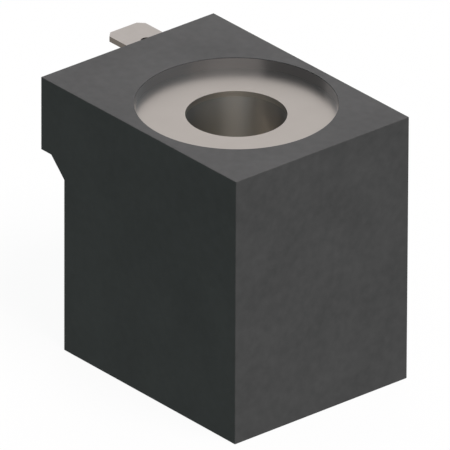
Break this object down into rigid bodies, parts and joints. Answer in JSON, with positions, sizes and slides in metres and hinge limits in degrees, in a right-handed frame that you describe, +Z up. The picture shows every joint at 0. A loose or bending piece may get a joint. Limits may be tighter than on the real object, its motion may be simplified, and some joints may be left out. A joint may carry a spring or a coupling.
{
  "type": "solenoid valve coil",
  "caption": "Encapsulated solenoid coil: black moulded block with a through bore, a steel nut seat in its top face and push-on tabs on a stepped terminal head.",
  "frame": {"origin": "on the axis of the tube bore, in the plane of the underside", "axes": "+Z up the tube bore to the nut seat; +X away from the terminal head, to the plain end face; +Y across the body, to the side that the earth tab is nearer to"},
  "size_m": [0.0484, 0.03, 0.039],
  "materials": {
    "housing_plastic": "fine satin",
    "plated_steel": "satin",
    "pole_steel": "turned",
    "yoke_steel": "zinc plated",
    "tab_metal": "tin plated",
    "bobbin_plastic": "natural",
    "carrier_plastic": "matte",
    "copper_wire": "enamelled",
    "tape_film": "gloss",
    "sleeve_plastic": "matte",
    "solder": "satin"
  },
  "bodies": {
    "root": {"housing": "housing_plastic", "nut_seat": "plated_steel", "upper_pole": "pole_steel", "lower_pole": "pole_steel", "yoke_frame": "yoke_steel", "yoke_plate": "yoke_steel", "bobbin": "bobbin_plastic", "winding": "copper_wire", "winding_tape": "tape_film", "terminal_carrier": "carrier_plastic", "start_tab": "tab_metal", "finish_tab": "tab_metal", "earth_tab": "tab_metal", "earth_rivets": "yoke_steel", "start_lead": "copper_wire", "finish_lead": "copper_wire", "start_sleeve": "sleeve_plastic", "finish_sleeve": "sleeve_plastic", "start_solder": "solder", "finish_solder": "solder"}
  },
  "joints": []
}
